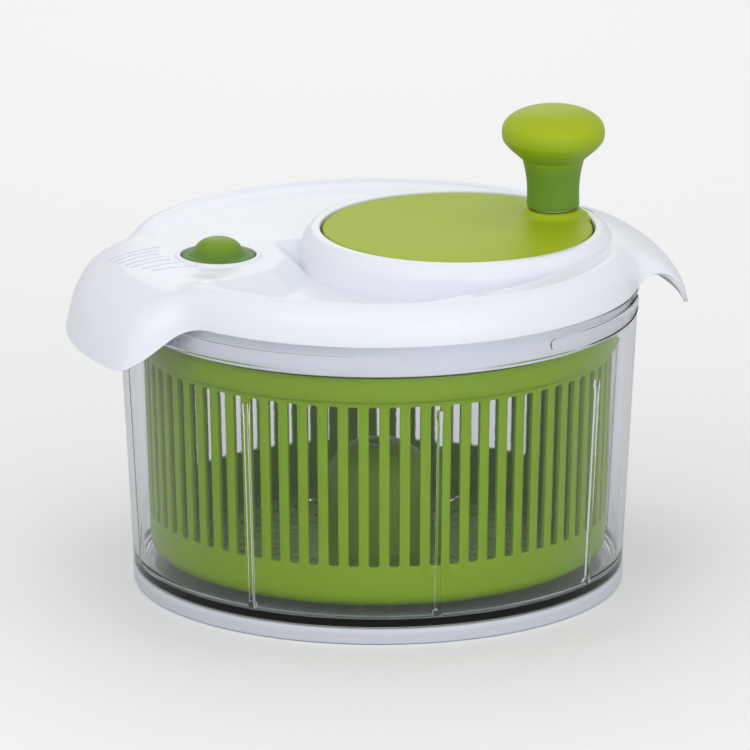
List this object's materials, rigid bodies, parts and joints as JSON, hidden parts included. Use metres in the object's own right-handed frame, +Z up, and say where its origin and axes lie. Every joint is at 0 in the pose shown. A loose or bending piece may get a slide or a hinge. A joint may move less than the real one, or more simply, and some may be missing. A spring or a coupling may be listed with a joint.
{
  "type": "salad spinner",
  "caption": "Crank-driven salad spinner: clear bowl with a base ring, slotted basket, and a lid with two grip lugs, an off-centre crank disc with a knob, and a stop button.",
  "frame": {"origin": "on the bowl's axis, at the bottom of the base ring", "axes": "+Z up along the bowl's axis; +X along the two grip lugs, towards the crank disc; +Y to the back"},
  "size_m": [0.2848, 0.2394, 0.214],
  "materials": {
    "clear_plastic": "clear glossy moulded plastic",
    "ring_plastic": "soft milky non-slip plastic",
    "green_plastic": "leaf green moulded plastic, satin",
    "bright_green_plastic": "yellow-green moulded plastic, fine satin grain",
    "white_plastic": "cool white moulded plastic, semi-gloss",
    "inner_plastic": "pale grey moulded plastic",
    "gear_plastic": "natural acetal",
    "steel": "stainless steel",
    "rubber": "black rubber"
  },
  "bodies": {
    "bowl": {"outer_bowl": "clear_plastic", "base_ring": "ring_plastic", "pivot_pin": "steel"},
    "basket_carrier": {"basket_bush": "gear_plastic"},
    "basket": {"basket_wall": "green_plastic", "basket_bend": "green_plastic", "basket_floor": "green_plastic"},
    "lid": {"lid_shell": "white_plastic", "left_grip_lug": "white_plastic", "right_grip_lug": "white_plastic", "inner_cover": "inner_plastic", "cover_screw_1": "steel", "cover_screw_2": "steel", "cover_screw_3": "steel", "cover_screw_4": "steel", "crank_bush": "gear_plastic", "shaft_bush": "gear_plastic", "button_spring": "steel"},
    "crank": {"crank_disc": "bright_green_plastic", "ring_gear": "gear_plastic", "crank_axle": "steel", "crank_clip": "steel", "knob_spindle": "steel", "knob_washer": "gear_plastic"},
    "knob": {"knob": "bright_green_plastic", "knob_bush": "gear_plastic"},
    "driver": {"drive_pinion": "gear_plastic", "drive_shaft": "steel", "shaft_clip": "steel", "basket_driver": "inner_plastic", "drive_screw": "steel"},
    "button": {"stop_button": "bright_green_plastic", "brake_stem": "gear_plastic", "brake_pad": "rubber"}
  },
  "joints": [
    {"name": "lid_lift", "type": "slide", "parent": "bowl", "child": "lid", "axis": [0, 0, 1], "range_m": [0, 0.26]},
    {"name": "basket_lift", "type": "slide", "parent": "bowl", "child": "basket_carrier", "axis": [0, 0, 1], "range_m": [0, 0.13]},
    {"name": "crank_spin", "type": "hinge", "parent": "lid", "child": "crank", "pos_m": [0.0375, 0, 0.155], "axis": [0, 0, 1], "continuous": true},
    {"name": "knob_spin", "type": "hinge", "parent": "crank", "child": "knob", "pos_m": [0.08543, 0.01019, 0.18], "axis": [0, 0, 1], "continuous": true},
    {"name": "driver_spin", "type": "hinge", "parent": "lid", "child": "driver", "pos_m": [0, 0, 0.14], "axis": [0, 0, 1], "continuous": true},
    {"name": "basket_spin", "type": "hinge", "parent": "basket_carrier", "child": "basket", "pos_m": [0, 0, 0.05], "axis": [0, 0, 1], "continuous": true},
    {"name": "button_press", "type": "slide", "parent": "lid", "child": "button", "axis": [0, 0, -1], "range_m": [0, 0.003], "stiffness_N_per_m": 900, "springref_m": -0.002, "deforming": ["button_spring"]}
  ],
  "couplings": [
    {"joint": "basket_lift", "follows": "lid_lift", "ratio": 0.5},
    {"joint": "driver_spin", "follows": "crank_spin", "ratio": 3.5},
    {"joint": "basket_spin", "follows": "crank_spin", "ratio": 3.5}
  ]
}
